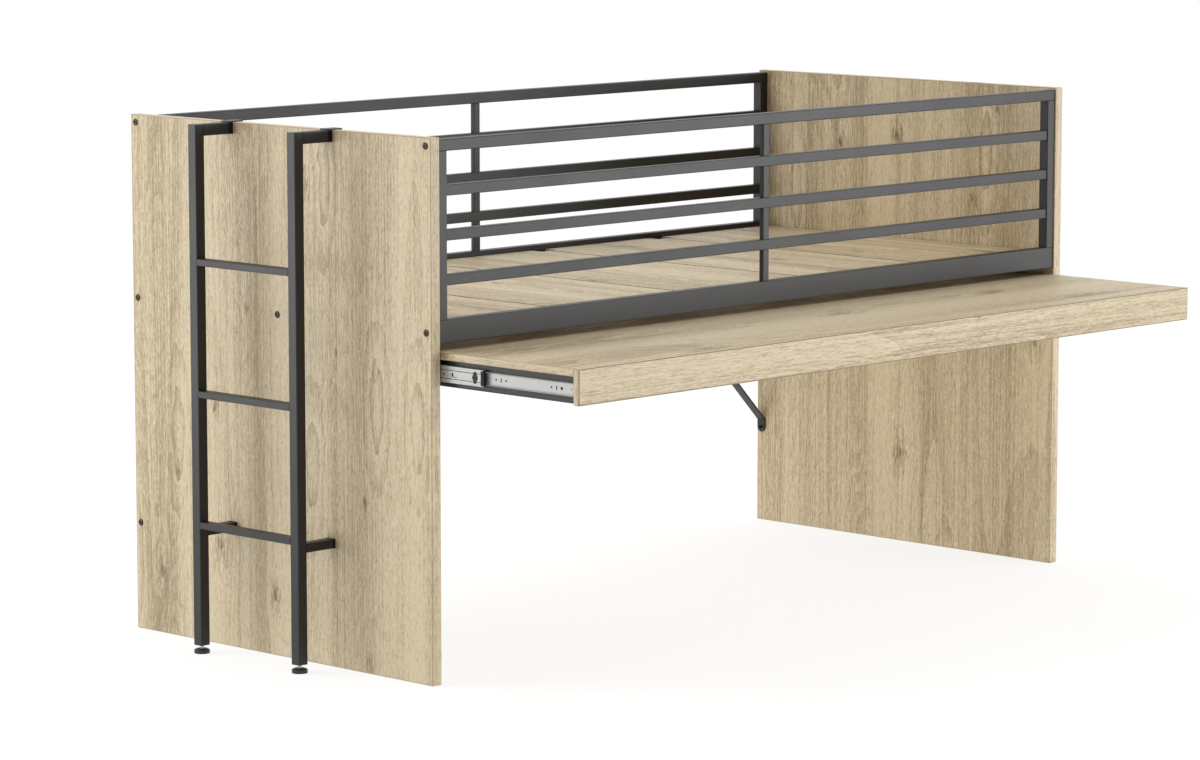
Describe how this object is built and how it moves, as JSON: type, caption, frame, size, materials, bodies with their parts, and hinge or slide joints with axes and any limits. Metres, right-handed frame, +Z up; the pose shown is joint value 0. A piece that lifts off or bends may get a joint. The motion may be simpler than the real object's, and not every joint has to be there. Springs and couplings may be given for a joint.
{
  "type": "cabin bed with pull-out desk",
  "caption": "Cabin bed with wooden end panels, tubular guard frames, a board deck, a desk on telescopic slides and a hooked ladder.",
  "frame": {"origin": "on the floor, midway along and across the whole outline with the desk pulled out", "axes": "+X along the bed to the far end panel (the ladder is at -X), +Y to the rear guard (the desk pulls out to -Y), +Z up"},
  "size_m": [2.206, 1.352, 1.153],
  "materials": {
    "oak_panel": "satin oak decor with upright grain and thin brown edges",
    "oak_deck": "satin oak decor with the grain across the bed",
    "oak_desk": "satin oak decor with the grain along the desk",
    "graphite_frame": "fine matt graphite powder coat",
    "graphite_ladder": "fine matt graphite powder coat",
    "black_bolts": "black oxide, satin",
    "zinc_fixings": "bright zinc plating",
    "slide_steel": "bright zinc plated sheet, rolled",
    "cage_steel": "plain sheet steel, oiled",
    "ball_steel": "polished",
    "black_plastic": "matt black moulding",
    "grey_plastic": "matt grey moulding",
    "black_rubber": "matt black rubber"
  },
  "bodies": {
    "bed": {"ladder_end_panel": "oak_panel", "far_end_panel": "oak_panel", "front_top_rail": "graphite_frame", "front_mid_rails": "graphite_frame", "front_bottom_rail": "graphite_frame", "rear_top_rail": "graphite_frame", "rear_mid_rails": "graphite_frame", "rear_bottom_rail": "graphite_frame", "guard_end_posts": "graphite_frame", "guard_centre_posts": "graphite_frame", "rail_end_nuts": "zinc_fixings", "bearer_saddles": "graphite_frame", "cross_bearers": "graphite_frame", "deck_board_1": "oak_deck", "deck_board_2": "oak_deck", "deck_board_3": "oak_deck", "deck_board_4": "oak_deck", "deck_board_5": "oak_deck", "rear_braces": "graphite_frame", "brace_screws": "zinc_fixings", "panel_bolts": "black_bolts", "slide_outer_left": "slide_steel", "slide_outer_right": "slide_steel", "slide_outer_screws": "zinc_fixings"},
    "desk": {"desk_top": "oak_desk", "desk_fascia": "oak_desk", "desk_side_rail_left": "graphite_frame", "desk_side_rail_right": "graphite_frame", "desk_rear_rail": "graphite_frame", "desk_centre_rail": "graphite_frame", "fascia_angles": "zinc_fixings", "desk_screws": "zinc_fixings", "slide_inner_left": "slide_steel", "slide_inner_right": "slide_steel", "slide_inner_screws": "zinc_fixings"},
    "ladder": {"ladder_stiles": "graphite_ladder", "ladder_arms": "graphite_ladder", "ladder_rungs": "graphite_ladder", "ladder_standoffs": "graphite_ladder", "ladder_hooks": "graphite_ladder", "ladder_pads": "black_rubber", "foot_plugs": "black_plastic"},
    "slide_middle_left": {"slide_middle_left": "slide_steel", "slide_bumper_left": "black_plastic"},
    "slide_middle_right": {"slide_middle_right": "slide_steel", "slide_bumper_right": "black_plastic"},
    "latch_left": {"slide_latch_left": "grey_plastic"},
    "latch_right": {"slide_latch_right": "grey_plastic"},
    "outer_cage_left": {"outer_cage_left": "cage_steel", "outer_balls_left": "ball_steel"},
    "outer_cage_right": {"outer_cage_right": "cage_steel", "outer_balls_right": "ball_steel"},
    "inner_cage_left": {"inner_cage_left": "cage_steel", "inner_balls_left": "ball_steel"},
    "inner_cage_right": {"inner_cage_right": "cage_steel", "inner_balls_right": "ball_steel"},
    "foot_front": {"foot_pad_front": "black_plastic", "foot_stem_front": "zinc_fixings"},
    "foot_rear": {"foot_pad_rear": "black_plastic", "foot_stem_rear": "zinc_fixings"}
  },
  "joints": [
    {"name": "desk_slide", "type": "slide", "parent": "bed", "child": "desk", "axis": [0, 1, 0], "range_m": [0, 0.4]},
    {"name": "slide_middle_left_run", "type": "slide", "parent": "bed", "child": "slide_middle_left", "axis": [0, 1, 0], "range_m": [0, 0.2]},
    {"name": "outer_cage_left_run", "type": "slide", "parent": "bed", "child": "outer_cage_left", "axis": [0, 1, 0], "range_m": [0, 0.1]},
    {"name": "inner_cage_left_run", "type": "slide", "parent": "bed", "child": "inner_cage_left", "axis": [0, 1, 0], "range_m": [0, 0.3]},
    {"name": "latch_left_turn", "type": "hinge", "parent": "slide_middle_left", "child": "latch_left", "pos_m": [-0.9635, -0.3765, 0.6585], "axis": [1, 0, 0], "range_deg": [-8, 8], "stiffness_Nm_per_rad": 0.05},
    {"name": "slide_middle_right_run", "type": "slide", "parent": "bed", "child": "slide_middle_right", "axis": [0, 1, 0], "range_m": [0, 0.2]},
    {"name": "outer_cage_right_run", "type": "slide", "parent": "bed", "child": "outer_cage_right", "axis": [0, 1, 0], "range_m": [0, 0.1]},
    {"name": "inner_cage_right_run", "type": "slide", "parent": "bed", "child": "inner_cage_right", "axis": [0, 1, 0], "range_m": [0, 0.3]},
    {"name": "latch_right_turn", "type": "hinge", "parent": "slide_middle_right", "child": "latch_right", "pos_m": [1.0725, -0.3765, 0.6585], "axis": [1, 0, 0], "range_deg": [-8, 8], "stiffness_Nm_per_rad": 0.05},
    {"name": "ladder_lift", "type": "slide", "parent": "bed", "child": "ladder", "axis": [0, 0, 1], "range_m": [0, 0.05]},
    {"name": "foot_front_height", "type": "slide", "parent": "ladder", "child": "foot_front", "axis": [0, 0, 1], "range_m": [0, 0.008]},
    {"name": "foot_rear_height", "type": "slide", "parent": "ladder", "child": "foot_rear", "axis": [0, 0, 1], "range_m": [0, 0.008]}
  ],
  "couplings": [
    {"joint": "slide_middle_left_run", "follows": "desk_slide", "ratio": 0.5},
    {"joint": "outer_cage_left_run", "follows": "desk_slide", "ratio": 0.25},
    {"joint": "inner_cage_left_run", "follows": "desk_slide", "ratio": 0.75},
    {"joint": "slide_middle_right_run", "follows": "desk_slide", "ratio": 0.5},
    {"joint": "outer_cage_right_run", "follows": "desk_slide", "ratio": 0.25},
    {"joint": "inner_cage_right_run", "follows": "desk_slide", "ratio": 0.75}
  ]
}
